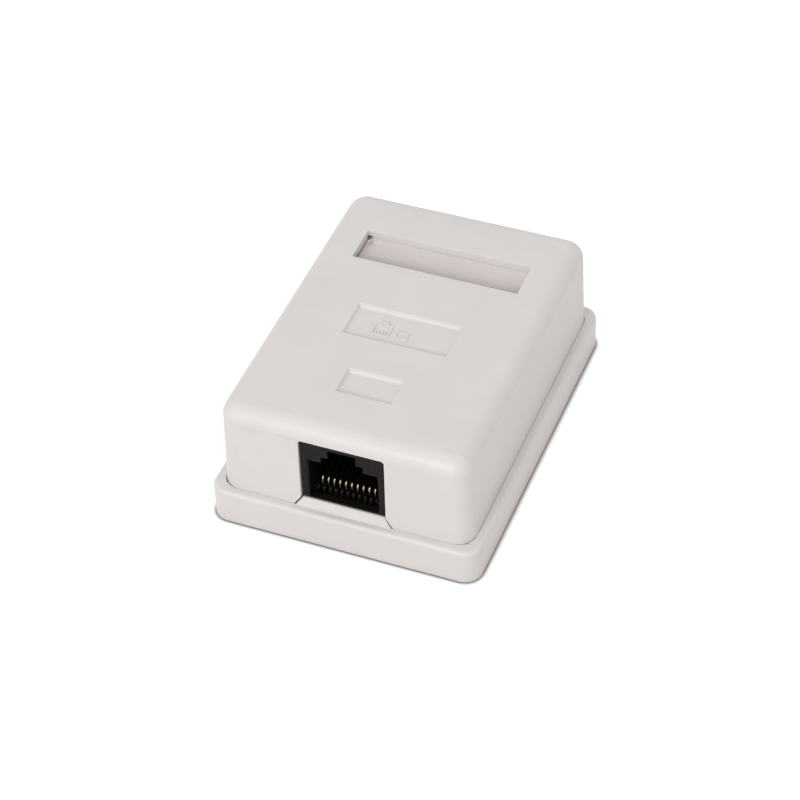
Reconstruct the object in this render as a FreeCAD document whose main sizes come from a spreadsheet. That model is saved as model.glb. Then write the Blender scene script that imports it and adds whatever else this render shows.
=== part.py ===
import FreeCAD, Part
import math
import os
import re
import Sketcher

# One-port surface mount jack box. Millimetres, +Z up, the jack faces -Y,
# and the origin is the centre of the base's underside.

Vector = FreeCAD.Vector
doc = FreeCAD.newDocument("jack_box")

# ---------------------------------------------------------------- driving dimensions
dimensions = {
    # outer box
    "box_width": 47.0, "box_length": 64.0, "box_height": 23.9,
    "base_height": 6.7, "base_corner": 3.0, "rim_thick": 1.45, "rim_round": 0.75,
    "rim_inner_corner": 3.3, "floor_thick": 2.0,
    "cover_inset": 1.6, "cover_draft": 1.3, "cover_wall": 2.0, "cover_corner": 3.4,
    "cover_round": 3.0, "cover_front_inside": "=box_length/2 - cover_inset - cover_wall",
    "cover_foot": 6.6, "skirt_step": 0.1, "skirt_gap": 0.1,
    # opening for the jack and the sill of the base that closes it from below
    "opening_width": 14.7, "opening_top": 20.85, "opening_corner": 0.5,
    "sill_top": 8.35, "sill_top_width": 14.2, "sill_foot_width": 16.8, "sill_foot_top": 6.6,
    "sill_proud": 0.1, "sill_lean": 0.55, "sill_round": 0.25, "notch_gap": 0.3,
    # recesses in the top face
    "tray_width": 29.7, "tray_front": 12.15, "tray_rear": 19.5, "tray_deep": 3.3,
    "tray_wall": 1.25, "recess_deep": 0.7, "recess_draft": 5.0,
    "middle_width": 18.2, "middle_front": -6.5, "middle_rear": 1.15,
    "small_width": 9.5, "small_front": -20.0, "small_rear": -14.3,
    "pry_hole": 1.1, "pry_inset": 0.2,
    # label
    "label_gap": 0.25, "label_rear_gap": 0.15, "label_drop": 1.35, "window_thick": 1.15, "window_corner": 0.9,
    "window_round": 0.15,
    "card_thick": 0.25, "card_margin": 0.4,
    # inside of the base
    "hook_pitch": 18.0, "hook_width": 6.0, "hook_thick": 1.3, "hook_face": 19.15, "hook_nose": 0.5,
    "hook_top": 14.0, "hook_catch": 11.6, "hook_nose_rise": 0.3,
    "catch_bottom": 11.2, "catch_top": 13.8, "catch_gap": 0.3, "catch_span": 41.0,
    "wall_hole": 4.2, "wall_hole_sink": 1.1, "wall_hole_x": 32.0, "wall_hole_y": 40.0,
    "boss_width": 7.3, "boss_rise": 1.2,
    "cable_width": 8.4, "cable_top": 10.4, "cable_round": 4.1,
    "floor_hole_width": 16.0, "floor_hole_long": 7.0, "floor_hole_y": 17.6, "floor_hole_round": 3.4,
    "tie_width": 9.0, "tie_long": 4.0, "tie_rise": 3.4, "tie_y": 25.0, "tie_slot": 2.4,
    "tie_slot_high": 1.2, "saddle_radius": 3.6, "saddle_deep": 1.0,
    # circuit board and its screws
    "board_width": 25.2, "board_front": -27.9, "board_rear": 13.4, "board_thick": 1.6,
    "board_top": 8.0, "board_chamfer": 1.0, "post_width": 5.2,
    "screw_x": 20.4, "screw_front": -13.6, "screw_rear": 10.9,
    "screw_head": 4.2, "screw_head_high": 1.5, "screw_shank": 1.86, "screw_long": 4.8,
    "screw_crown": 0.7, "pilot_hole": 1.96, "pilot_spare": 0.6, "board_screw_hole": 2.5,
    # jack
    "jack_width": 14.3, "jack_front": -29.9, "jack_rear": -12.0, "jack_top": 21.4,
    "snout_top": 20.65, "snout_bottom": 8.5, "snout_long": 3.4, "snout_round": 0.5,
    "socket_width": 11.9, "socket_floor": 9.9, "socket_top": 16.75, "socket_deep": 13.0,
    "latch_width": 7.2, "latch_top": 18.3, "tab_width": 4.8, "tab_top": 20.1,
    "latch_lip": 1.8, "latch_deep": 10.0, "lead_in": 0.35, "front_lip": 0.35,
    "peg_width": 2.4, "peg_long": 2.4, "peg_x": 11.5, "peg_y": -13.4, "peg_hole": 2.6,
    "peg_chamfer": 0.3,
    # contact carrier and contacts
    "carrier_width": 10.3, "carrier_front": -28.3, "carrier_rear": -14.8, "carrier_gap": 0.1,
    "carrier_lift": 0.02, "carrier_high": 1.85, "carrier_chamfer": 0.3, "loop_room": 0.4,
    "carrier_nose": 1.3, "groove_width": 0.66, "groove_high": 0.62,
    "contact_pitch": 1.02, "contact_width": 0.38, "contact_thick": 0.3,
    "contact_run": 0.28, "contact_front": -27.5, "contact_rise": 10.95, "contact_crook": 0.5,
    "contact_slope": 5.0, "contact_arm": 11.1, "contact_bend": 0.45, "tail_front": -18.4, "tail_rear": -15.9, "tail_long": 3.0,
    "tail_hole": 0.95, "comb_bottom": 10.5, "comb_top": 14.6, "comb_deep": 1.2,
    # punch-down blocks
    "idc_x": 9.4, "idc_width": 5.6, "idc_front": -10.8, "idc_rear": 8.4, "idc_high": 12.0,
    "idc_foot": 5.2, "idc_pitch": 3.6, "idc_first": -8.4, "idc_slot": 1.1, "idc_mouth": 2.3,
    "idc_mouth_deep": 1.9, "idc_peak": 0.7, "idc_shoulder": 0.8, "idc_pocket_long": 2.9, "idc_pocket_width": 0.62,
    "idc_pocket_high": 9.7, "blade_thick": 0.5, "blade_width": 2.7, "blade_high": 9.2,
    "blade_slot": 0.4, "blade_slot_deep": 4.0, "blade_mouth": 1.5, "blade_mouth_deep": 1.0,
    "blade_tail": 0.7, "blade_hole": 1.05, "blade_lift": 0.05, "blade_shoulder": 0.5,
    # how far a joined feature starts inside the last one, and how far a cut runs past the material
    "bite": 0.5, "past": 1.0,
}

sheet = doc.addObject("Spreadsheet::Sheet", "dims")
for row, (alias, size) in enumerate(dimensions.items(), start=1):
    sheet.set(f"A{row}", alias.replace("_", " "))
    sheet.set(f"B{row}", str(size))
    sheet.setAlias(f"B{row}", alias)
doc.recompute()


def formula(text):
    """Puts the sheet's name before every alias in an expression."""
    return re.sub(r"[a-z]\w*", lambda m: "dims." + m[0] if m[0] in dimensions else m[0], text)


def size_of(text):
    return sheet.evalExpression(formula(text))


# ---------------------------------------------------------------- building blocks
TOLERANCE = 1e-3


def new_body(label):
    body = doc.addObject("PartDesign::Body", label)
    body.Label = label
    return body


def sketch_on(body, plane, name, offset="0"):
    """An empty sketch on one of the body's own origin planes, moved along its normal."""
    sketch = body.newObject("Sketcher::SketchObject", name)
    support = next(f for f in body.Origin.OriginFeatures if f.Role == plane)
    sketch.AttachmentSupport = [(support, "")]
    sketch.MapMode = "FlatFace"
    sketch.setExpression("AttachmentOffset.Base.z", formula(offset))
    return sketch


def pin_point(sketch, geometry, end, point):
    """Ties a point of the sketch to two formulas measured from its origin."""
    for kind, text in zip(("DistanceX", "DistanceY"), point):
        index = sketch.addConstraint(
            Sketcher.Constraint(kind, -1, 1, geometry, end, float(size_of(text))))
        sketch.setExpression(f"Constraints[{index}]", formula(text))


def add_outline(sketch, points):
    """A closed outline of straight lines through points given as pairs of formulas."""
    corners = [Vector(size_of(a), size_of(b), 0) for a, b in points]
    first = sketch.GeometryCount
    count = len(points)
    for i in range(count):
        sketch.addGeometry(Part.LineSegment(corners[i], corners[(i + 1) % count]))
    for i in range(count):
        sketch.addConstraint(
            Sketcher.Constraint("Coincident", first + i, 2, first + (i + 1) % count, 1))
        pin_point(sketch, first + i, 1, points[i])


def add_box(sketch, left, right, low, high):
    add_outline(sketch, [(left, low), (right, low), (right, high), (left, high)])


def add_rounded_box(sketch, half_x, half_y, radius, centre_y="0"):
    """A rectangle about the sketch's Y axis with a quarter arc at each corner."""
    r = size_of(radius)
    corners = [(half_x, half_y, 1, 1), ("-" + half_x, half_y, -1, 1),
               ("-" + half_x, "-" + half_y, -1, -1), (half_x, "-" + half_y, 1, -1)]
    ends = []
    for i, (x, y, right, up) in enumerate(corners):
        y = f"{centre_y} + {y}"
        along_x = (f"{x} - {right}*{radius}", y)
        along_y = (x, f"{y} - {up}*{radius}")
        ends.append((along_y, along_x) if i % 2 == 0 else (along_x, along_y))
        centre = Vector(size_of(along_x[0]), size_of(along_y[1]), 0)
        circle = Part.Circle(centre, Vector(0, 0, 1), r)
        sketch.addGeometry(Part.ArcOfCircle(circle, i * math.pi / 2, (i + 1) * math.pi / 2))
        bound = sketch.addConstraint(Sketcher.Constraint("Radius", i, r))
        sketch.setExpression(f"Constraints[{bound}]", formula(radius))
    for i in range(4):
        after = (i + 1) % 4
        line = [Vector(*map(size_of, point), 0) for point in (ends[i][1], ends[after][0])]
        index = sketch.addGeometry(Part.LineSegment(*line))
        pin_point(sketch, index, 1, ends[i][1])
        pin_point(sketch, index, 2, ends[after][0])
        sketch.addConstraint(Sketcher.Constraint("Coincident", i, 2, index, 1))
        sketch.addConstraint(Sketcher.Constraint("Coincident", after, 1, index, 2))


def add_circle(sketch, centre, diameter):
    middle = Vector(size_of(centre[0]), size_of(centre[1]), 0)
    index = sketch.addGeometry(Part.Circle(middle, Vector(0, 0, 1), size_of(diameter) / 2))
    pin_point(sketch, index, 3, centre)
    bound = sketch.addConstraint(Sketcher.Constraint("Diameter", index, size_of(diameter)))
    sketch.setExpression(f"Constraints[{bound}]", formula(diameter))


def add_feature(body, kind, sketch, length, reverse=False, centred=False, draft=None):
    feature = body.newObject("PartDesign::" + kind, kind + sketch.Name)
    feature.Profile = sketch
    feature.setExpression("Length", formula(length))
    feature.Reversed = reverse
    if centred:
        feature.SideType = "Symmetric"
    if draft:
        feature.setExpression("TaperAngle", formula(draft))
    doc.recompute()
    return feature


def pad(body, sketch, length, **options):
    return add_feature(body, "Pad", sketch, length, **options)


def pocket(body, sketch, length, **options):
    """Cuts, and makes sure that the cut took something away."""
    before = body.Shape.Volume
    feature = add_feature(body, "Pocket", sketch, length, **options)
    if body.Shape.Volume > before - TOLERANCE:
        raise RuntimeError(f"{feature.Name} of {body.Label} cuts nothing")
    return feature


def dress(body, kind, test, size):
    """Rounds or chamfers every edge of the body whose box passes the test."""
    base = body.Tip
    names = [f"Edge{i}" for i, edge in enumerate(base.Shape.Edges, start=1) if test(edge.BoundBox)]
    if not names:
        raise RuntimeError(f"no edge to dress on {body.Label}")
    feature = body.newObject("PartDesign::" + kind, kind)
    feature.Base = (base, names)
    feature.setExpression("Radius" if kind == "Fillet" else "Size", formula(size))
    doc.recompute()
    if not feature.Shape.isValid():
        raise RuntimeError(f"{kind} {size} of {body.Label} failed")
    return feature


def near(a, b, margin=TOLERANCE):
    return abs(a - b) < margin


def flat_along(length):
    return length < TOLERANCE


def upright(box):
    return flat_along(box.XLength) and flat_along(box.YLength)


def at_height(box, level):
    return flat_along(box.ZLength) and near(box.ZMin, level)


def runs_inward(box):
    """An edge that goes straight through a front or rear wall."""
    return flat_along(box.XLength) and box.YLength > 1


def repeat_along_x(body, feature, pitch, count):
    """A row of copies of one feature of the body along X."""
    pattern = body.newObject("PartDesign::LinearPattern", "Row" + feature.Name)
    pattern.Originals = [feature]
    axis = next(f for f in body.Origin.OriginFeatures if f.Role == "X_Axis")
    pattern.Direction = (axis, [""])
    pattern.setExpression("Length", formula(f"{pitch} * {count - 1}"))
    pattern.Occurrences = count
    body.Tip = pattern
    doc.recompute()
    return pattern


def mirror_in_x(body, features):
    mirrored = body.newObject("PartDesign::Mirrored", "Mirror" + features[0].Name)
    mirrored.Originals = features
    side = next(f for f in body.Origin.OriginFeatures if f.Role == "YZ_Plane")
    mirrored.MirrorPlane = (side, [""])
    body.Tip = mirrored
    doc.recompute()
    return mirrored


CONTACTS = 10
SLOTS = 5


# ---------------------------------------------------------------- base
def make_base():
    body = new_body("base")
    outer = sketch_on(body, "XY_Plane", "BaseOutline")
    add_rounded_box(outer, "box_width/2", "box_length/2", "base_corner")
    pad(body, outer, "base_height")

    # the tray: everything inside the rim goes down to the floor
    tray = sketch_on(body, "XY_Plane", "BaseTray", "base_height")
    half_x, half_y = "(box_width/2 - rim_thick)", "(box_length/2 - rim_thick)"
    add_rounded_box(tray, half_x, half_y, "rim_inner_corner")
    pocket(body, tray, "base_height - floor_thick")
    rim, side, end = (size_of(t) for t in ("base_height", "box_width/2", "box_length/2"))
    dress(body, "Fillet", lambda b: at_height(b, rim) and (
        near(max(-b.XMin, b.XMax), side) or near(max(-b.YMin, b.YMax), end)), "rim_round")

    # sill: closes the notch of the cover under the jack, and leans back
    sill_front = "(box_length/2 - rim_thick + sill_proud)"
    sill = sketch_on(body, "XZ_Plane", "BaseSill", "cover_front_inside")
    add_outline(sill, [
        ("-sill_foot_width/2", "floor_thick - bite"), ("sill_foot_width/2", "floor_thick - bite"),
        ("sill_foot_width/2", "sill_foot_top"), ("sill_top_width/2", "sill_top"),
        ("-sill_top_width/2", "sill_top"), ("-sill_foot_width/2", "sill_foot_top")])
    pad(body, sill, f"{sill_front} - cover_front_inside")
    lean = sketch_on(body, "YZ_Plane", "SillLean")
    add_outline(lean, [
        ("-" + sill_front, "base_height"), ("-" + sill_front, "sill_top + past"),
        (f"-{sill_front} + sill_lean", "sill_top + past"), (f"-{sill_front} + sill_lean", "sill_top")])
    pocket(body, lean, "sill_foot_width + 2*past", centred=True)
    sill_top = size_of("sill_top")
    dress(body, "Fillet", lambda b: at_height(b, sill_top) and flat_along(b.YLength), "sill_round")

    # posts that carry the circuit board
    posts = sketch_on(body, "XY_Plane", "BasePosts", "floor_thick - bite")
    corners = [(x, y) for x in ("screw_x/2", "-screw_x/2") for y in ("screw_front", "screw_rear")]
    for corner in corners:
        add_circle(posts, corner, "post_width")
    pad(body, posts, "board_top - board_thick - floor_thick + bite")
    pilots = sketch_on(body, "XY_Plane", "BasePilots", "board_top - board_thick")
    for corner in corners:
        add_circle(pilots, corner, "pilot_hole")
    pocket(body, pilots, "screw_long - board_thick + pilot_spare")

    # raised bosses and countersunk holes for the wall screws
    spots = [(x, y) for x in ("wall_hole_x/2", "-wall_hole_x/2")
             for y in ("wall_hole_y/2", "-wall_hole_y/2")]
    bosses = sketch_on(body, "XY_Plane", "BaseBosses", "floor_thick - bite")
    for spot in spots:
        add_circle(bosses, spot, "boss_width")
    pad(body, bosses, "boss_rise + bite")
    holes = sketch_on(body, "XY_Plane", "BaseHoles", "floor_thick + boss_rise")
    for spot in spots:
        add_circle(holes, spot, "wall_hole")
    pocket(body, holes, "floor_thick + boss_rise + past")
    boss_top = size_of("floor_thick + boss_rise")
    mouth = size_of("wall_hole")
    dress(body, "Chamfer", lambda b: at_height(b, boss_top) and near(b.XLength, mouth, 0.05),
          "wall_hole_sink")

    # hole in the floor for a cable that comes out of the wall
    hole = sketch_on(body, "XY_Plane", "BaseCableHole", "floor_thick")
    add_rounded_box(hole, "floor_hole_width/2", "floor_hole_long/2", "floor_hole_round", "floor_hole_y")
    pocket(body, hole, "floor_thick + past")

    # notch in the rear of the rim for a cable that comes along the wall
    notch = sketch_on(body, "XZ_Plane", "BaseCableNotch", "-(box_length/2 - rim_thick - past)")
    add_box(notch, "-cable_width/2", "cable_width/2", "floor_thick", "base_height + past")
    pocket(body, notch, "rim_thick + 2*past")

    # bridge for a cable tie: a saddle on top, and a slot across underneath
    tie = sketch_on(body, "XZ_Plane", "BaseTieBridge", "-(tie_y + tie_long/2)")
    add_box(tie, "-tie_width/2", "tie_width/2", "floor_thick - bite", "floor_thick + tie_rise")
    pad(body, tie, "tie_long")
    saddle = sketch_on(body, "XZ_Plane", "BaseSaddle", "-tie_y")
    add_circle(saddle, ("0", "floor_thick + tie_rise + saddle_radius - saddle_deep"), "saddle_radius*2")
    pocket(body, saddle, "tie_long + past", centred=True)
    slot = sketch_on(body, "YZ_Plane", "BaseTieSlot")
    add_box(slot, "tie_y - tie_slot/2", "tie_y + tie_slot/2", "floor_thick", "floor_thick + tie_slot_high")
    pocket(body, slot, "tie_width + past", centred=True)

    # snap hooks, two a side: a leg, and a nose with a sloped top that points at the cover
    hooks = []
    for name, front in (("FrontHooks", "-(hook_pitch + hook_width)/2"),
                        ("RearHooks", "(hook_pitch - hook_width)/2")):
        hook = sketch_on(body, "XZ_Plane", name, f"-({front} + hook_width)")
        add_outline(hook, [
            ("hook_face - hook_thick", "floor_thick - bite"), ("hook_face", "floor_thick - bite"),
            ("hook_face", "hook_catch"), ("hook_face + hook_nose", "hook_catch + hook_nose_rise"),
            ("hook_face", "hook_top"), ("hook_face - hook_thick", "hook_top")])
        hooks.append(pad(body, hook, "hook_width"))
    mirror_in_x(body, hooks)
    return body


# ---------------------------------------------------------------- cover
def add_recess(body, name, width, front, rear, deep, draft=None):
    sketch = sketch_on(body, "XY_Plane", name, "box_height")
    add_box(sketch, f"-{width}/2", f"{width}/2", front, rear)
    return pocket(body, sketch, deep, draft=draft)


def make_cover():
    body = new_body("cover")
    half_x, half_y = "(box_width/2 - cover_inset)", "(box_length/2 - cover_inset)"
    outer = sketch_on(body, "XY_Plane", "CoverOutline", "cover_foot")
    add_box(outer, "-" + half_x, half_x, "-" + half_y, half_y)
    pad(body, outer, "box_height - cover_foot", draft="-cover_draft")
    high = size_of("box_height")
    dress(body, "Fillet", lambda b: near(b.ZMax, high) and not at_height(b, high), "cover_corner")
    dress(body, "Fillet", lambda b: at_height(b, high), "cover_round")

    # hollowed from below to an even wall
    core_x, core_y = f"({half_x} - cover_wall)", f"({half_y} - cover_wall)"
    core = sketch_on(body, "XY_Plane", "CoverCore", "cover_foot")
    add_box(core, "-" + core_x, core_x, "-" + core_y, core_y)
    pocket(body, core, "box_height - cover_wall - cover_foot", reverse=True, draft="-cover_draft")
    ceiling = size_of("box_height - cover_wall")
    dress(body, "Fillet", lambda b: near(b.ZMax, ceiling), "cover_round - cover_wall")

    # plain skirt that goes down inside the rim of the base
    skirt = sketch_on(body, "XY_Plane", "CoverSkirt", "cover_foot")
    side, end = f"({half_x} - skirt_step)", f"({half_y} - skirt_step)"
    add_rounded_box(skirt, side, end, "(cover_corner - skirt_step)")
    pad(body, skirt, "cover_foot - floor_thick - skirt_gap", reverse=True)
    bore = sketch_on(body, "XY_Plane", "CoverBore", "cover_foot")
    add_rounded_box(bore, core_x, core_y, "(cover_corner - cover_wall)")
    pocket(body, bore, "cover_foot")

    # tray for the label and its window
    tray = sketch_on(body, "XY_Plane", "LabelTray", "box_height - tray_deep - tray_wall")
    add_box(tray, "-tray_width/2 - tray_wall", "tray_width/2 + tray_wall",
            "tray_front - tray_wall", "tray_rear + tray_wall")
    pad(body, tray, "tray_deep + tray_wall - bite")
    add_recess(body, "LabelPocket", "tray_width", "tray_front", "tray_rear", "tray_deep")
    # hole at the rear left corner, where a pin gets under the window's cut corner
    hole = sketch_on(body, "XY_Plane", "PryHole", "box_height - label_drop")
    add_circle(hole, ("-tray_width/2 + pry_inset", "tray_rear - pry_inset"), "pry_hole")
    pocket(body, hole, "tray_deep - label_drop + tray_wall + past")

    # two shallow recesses with drafted walls
    add_recess(body, "MiddleRecess", "middle_width", "middle_front", "middle_rear",
               "recess_deep", draft="-recess_draft")
    add_recess(body, "SmallRecess", "small_width", "small_front", "small_rear",
               "recess_deep", draft="-recess_draft")

    # opening for the jack, widening below into the notch that the sill fills
    opening = sketch_on(body, "XZ_Plane", "JackOpening", "cover_front_inside - past")
    wide, foot_wide = "opening_width/2", "(sill_foot_width/2 + notch_gap)"
    add_outline(opening, [
        ("-" + foot_wide, "0"), (foot_wide, "0"), (foot_wide, "sill_foot_top"),
        (wide, "sill_top + notch_gap"), (wide, "opening_top"), ("-" + wide, "opening_top"),
        ("-" + wide, "sill_top + notch_gap"), ("-" + foot_wide, "sill_foot_top")])
    pocket(body, opening, "cover_wall + 3*past", reverse=True)
    top = size_of("opening_top")
    wide_x = size_of(wide)
    dress(body, "Fillet", lambda b: near(b.ZMax, top) and runs_inward(b)
          and near(abs(b.XMin), wide_x), "opening_corner")

    # arch in the rear wall over the cable notch of the base
    arch = sketch_on(body, "XZ_Plane", "CableArch", "-(cover_front_inside - past)")
    add_box(arch, "-cable_width/2", "cable_width/2", "0", "cable_top")
    pocket(body, arch, "cover_wall + 3*past")
    arch_top = size_of("cable_top")
    dress(body, "Fillet", lambda b: near(b.ZMax, arch_top) and runs_inward(b) and b.YMin > 0,
          "cable_round")

    # catches for the snap hooks, in the inside of both long walls
    for name, middle in (("FrontCatch", "-hook_pitch/2"), ("RearCatch", "hook_pitch/2")):
        catch = sketch_on(body, "YZ_Plane", name)
        add_box(catch, f"{middle} - hook_width/2 - catch_gap", f"{middle} + hook_width/2 + catch_gap",
                "catch_bottom", "catch_top")
        pocket(body, catch, "catch_span", centred=True)
    return body


# ---------------------------------------------------------------- label
def make_label_window():
    body = new_body("label_window")
    plate = sketch_on(body, "XY_Plane", "WindowPlate", "box_height - label_drop")
    add_box(plate, "-tray_width/2 + label_gap", "tray_width/2 - label_gap",
            "tray_front + label_gap", "tray_rear - label_rear_gap")
    pad(body, plate, "window_thick", reverse=True)
    left, rear = size_of("-tray_width/2 + label_gap"), size_of("tray_rear - label_rear_gap")
    dress(body, "Chamfer", lambda b: upright(b) and near(b.XMin, left) and near(b.YMin, rear),
          "window_corner")
    top = size_of("box_height - label_drop")
    dress(body, "Fillet", lambda b: at_height(b, top), "window_round")
    return body


def make_label_card():
    body = new_body("label_card")
    card = sketch_on(body, "XY_Plane", "Card", "box_height - tray_deep")
    add_box(card, "-tray_width/2 + card_margin", "tray_width/2 - card_margin",
            "tray_front + card_margin", "tray_rear - pry_inset - pry_hole/2 - card_margin/2")
    pad(body, card, "card_thick")
    return body


# ---------------------------------------------------------------- circuit board
def contact_x(i):
    return f"({i} - {(CONTACTS - 1) / 2})*contact_pitch"


def tail_y(i):
    return "tail_front" if i % 2 else "tail_rear"


def make_circuit_board():
    body = new_body("circuit_board")
    board = sketch_on(body, "XY_Plane", "Board", "board_top")
    add_box(board, "-board_width/2", "board_width/2", "board_front", "board_rear")
    pad(body, board, "board_thick", reverse=True)
    front = size_of("board_front")
    dress(body, "Chamfer", lambda b: upright(b) and near(b.YMin, front), "board_chamfer")
    holes = sketch_on(body, "XY_Plane", "BoardHoles", "board_top")
    for side in ("", "-"):
        for y in ("screw_front", "screw_rear"):
            add_circle(holes, (f"{side}screw_x/2", y), "board_screw_hole")
        add_circle(holes, (f"{side}peg_x/2", "peg_y"), "peg_hole")
        for i in range(SLOTS):
            add_circle(holes, (f"{side}idc_x", f"idc_first + {i}*idc_pitch"), "blade_hole")
    for i in range(CONTACTS):
        add_circle(holes, (contact_x(i), tail_y(i)), "tail_hole")
    pocket(body, holes, "board_thick + past")
    return body


# ---------------------------------------------------------------- jack
def make_jack_housing():
    body = new_body("jack_housing")
    # snout that stands in the cover's opening, and the taller body behind it
    snout = sketch_on(body, "XZ_Plane", "Snout", "-jack_front")
    add_box(snout, "-jack_width/2", "jack_width/2", "snout_bottom", "snout_top")
    pad(body, snout, "snout_long + bite", reverse=True)
    block = sketch_on(body, "XZ_Plane", "Block", "-jack_rear")
    add_box(block, "-jack_width/2", "jack_width/2", "board_top", "jack_top")
    pad(body, block, "jack_rear - jack_front - snout_long")
    front = size_of("jack_front")
    snout_top = size_of("snout_top")
    dress(body, "Fillet", lambda b: runs_inward(b) and near(b.YMin, front)
          and near(b.ZMin, snout_top), "snout_round")

    # socket, with the stepped slot for the plug's latch above it
    socket = sketch_on(body, "XZ_Plane", "Socket", "-jack_front")
    add_box(socket, "-socket_width/2", "socket_width/2", "socket_floor", "socket_top")
    pocket(body, socket, "socket_deep")
    low, high, half = (size_of(t) for t in ("socket_floor", "socket_top", "socket_width/2"))
    dress(body, "Chamfer", lambda b: near(b.YMax, front) and flat_along(b.YLength)
          and b.ZMin > low - TOLERANCE and b.ZMax < high + TOLERANCE
          and abs(b.XMin) < half + TOLERANCE, "lead_in")
    latch = sketch_on(body, "XZ_Plane", "LatchSlot", "-jack_front")
    add_box(latch, "-latch_width/2", "latch_width/2", "socket_top - bite", "latch_top")
    pocket(body, latch, "latch_deep")
    tab = sketch_on(body, "XZ_Plane", "TabSlot", "-jack_front")
    add_box(tab, "-tab_width/2", "tab_width/2", "latch_top - bite", "tab_top")
    pocket(body, tab, "latch_deep")
    # behind the lip the slot is as wide as the latch, which leaves the two catching shoulders
    behind = sketch_on(body, "XZ_Plane", "LatchRoom", "-jack_front - latch_lip")
    add_box(behind, "-latch_width/2", "latch_width/2", "latch_top - bite", "tab_top")
    pocket(body, behind, "latch_deep - latch_lip")

    # the front of the socket's floor is cut down to a low lip
    mouth = sketch_on(body, "XZ_Plane", "OpenMouth", "-jack_front")
    add_box(mouth, "-socket_width/2", "socket_width/2", "snout_bottom + front_lip", "socket_floor + bite")
    pocket(body, mouth, "carrier_front - loop_room - jack_front + bite")

    # room for the contact carrier, and comb slots for the contact tips in the end wall
    room = sketch_on(body, "XY_Plane", "CarrierRoom", "board_top")
    add_box(room, "-carrier_width/2 - carrier_gap", "carrier_width/2 + carrier_gap",
            "carrier_front - loop_room", "carrier_rear + carrier_gap")
    pocket(body, room, "socket_floor - board_top", reverse=True)
    comb = sketch_on(body, "YZ_Plane", "Comb", f"-{(CONTACTS - 1) / 2}*contact_pitch")
    end = "(jack_front + socket_deep)"
    add_box(comb, f"{end} - bite", f"{end} + comb_deep", "comb_bottom", "comb_top")
    slot = pocket(body, comb, "groove_width", centred=True)
    repeat_along_x(body, slot, "contact_pitch", CONTACTS)

    # pegs that locate the jack on the board
    pegs = sketch_on(body, "XY_Plane", "Pegs", "board_top + bite")
    for side in ("", "-"):
        add_circle(pegs, (f"{side}peg_x/2", "peg_y"), "peg_width")
    pad(body, pegs, "peg_long + bite", reverse=True)
    foot = size_of("board_top - peg_long")
    dress(body, "Chamfer", lambda b: at_height(b, foot), "peg_chamfer")
    return body


def make_contact_carrier():
    body = new_body("contact_carrier")
    block = sketch_on(body, "XY_Plane", "Carrier", "board_top + carrier_lift")
    add_box(block, "-carrier_width/2", "carrier_width/2", "carrier_front", "carrier_rear")
    pad(body, block, "carrier_high")
    front = size_of("carrier_front")
    dress(body, "Chamfer", lambda b: near(b.YMax, front) and b.XLength > 1, "carrier_chamfer")
    # one slot a contact: open at the nose for the loop, and a groove under the rest
    groove = sketch_on(body, "YZ_Plane", "ContactSlot", f"-{(CONTACTS - 1) / 2}*contact_pitch")
    nose = "(carrier_front + carrier_nose)"
    add_outline(groove, [
        ("carrier_front - past", "board_top - past"), ("carrier_rear + past", "board_top - past"),
        ("carrier_rear + past", "board_top + groove_high"), (nose, "board_top + groove_high"),
        (nose, "socket_floor + past"), ("carrier_front - past", "socket_floor + past")])
    slot = pocket(body, groove, "groove_width", centred=True)
    repeat_along_x(body, slot, "contact_pitch", CONTACTS)
    return body


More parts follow.
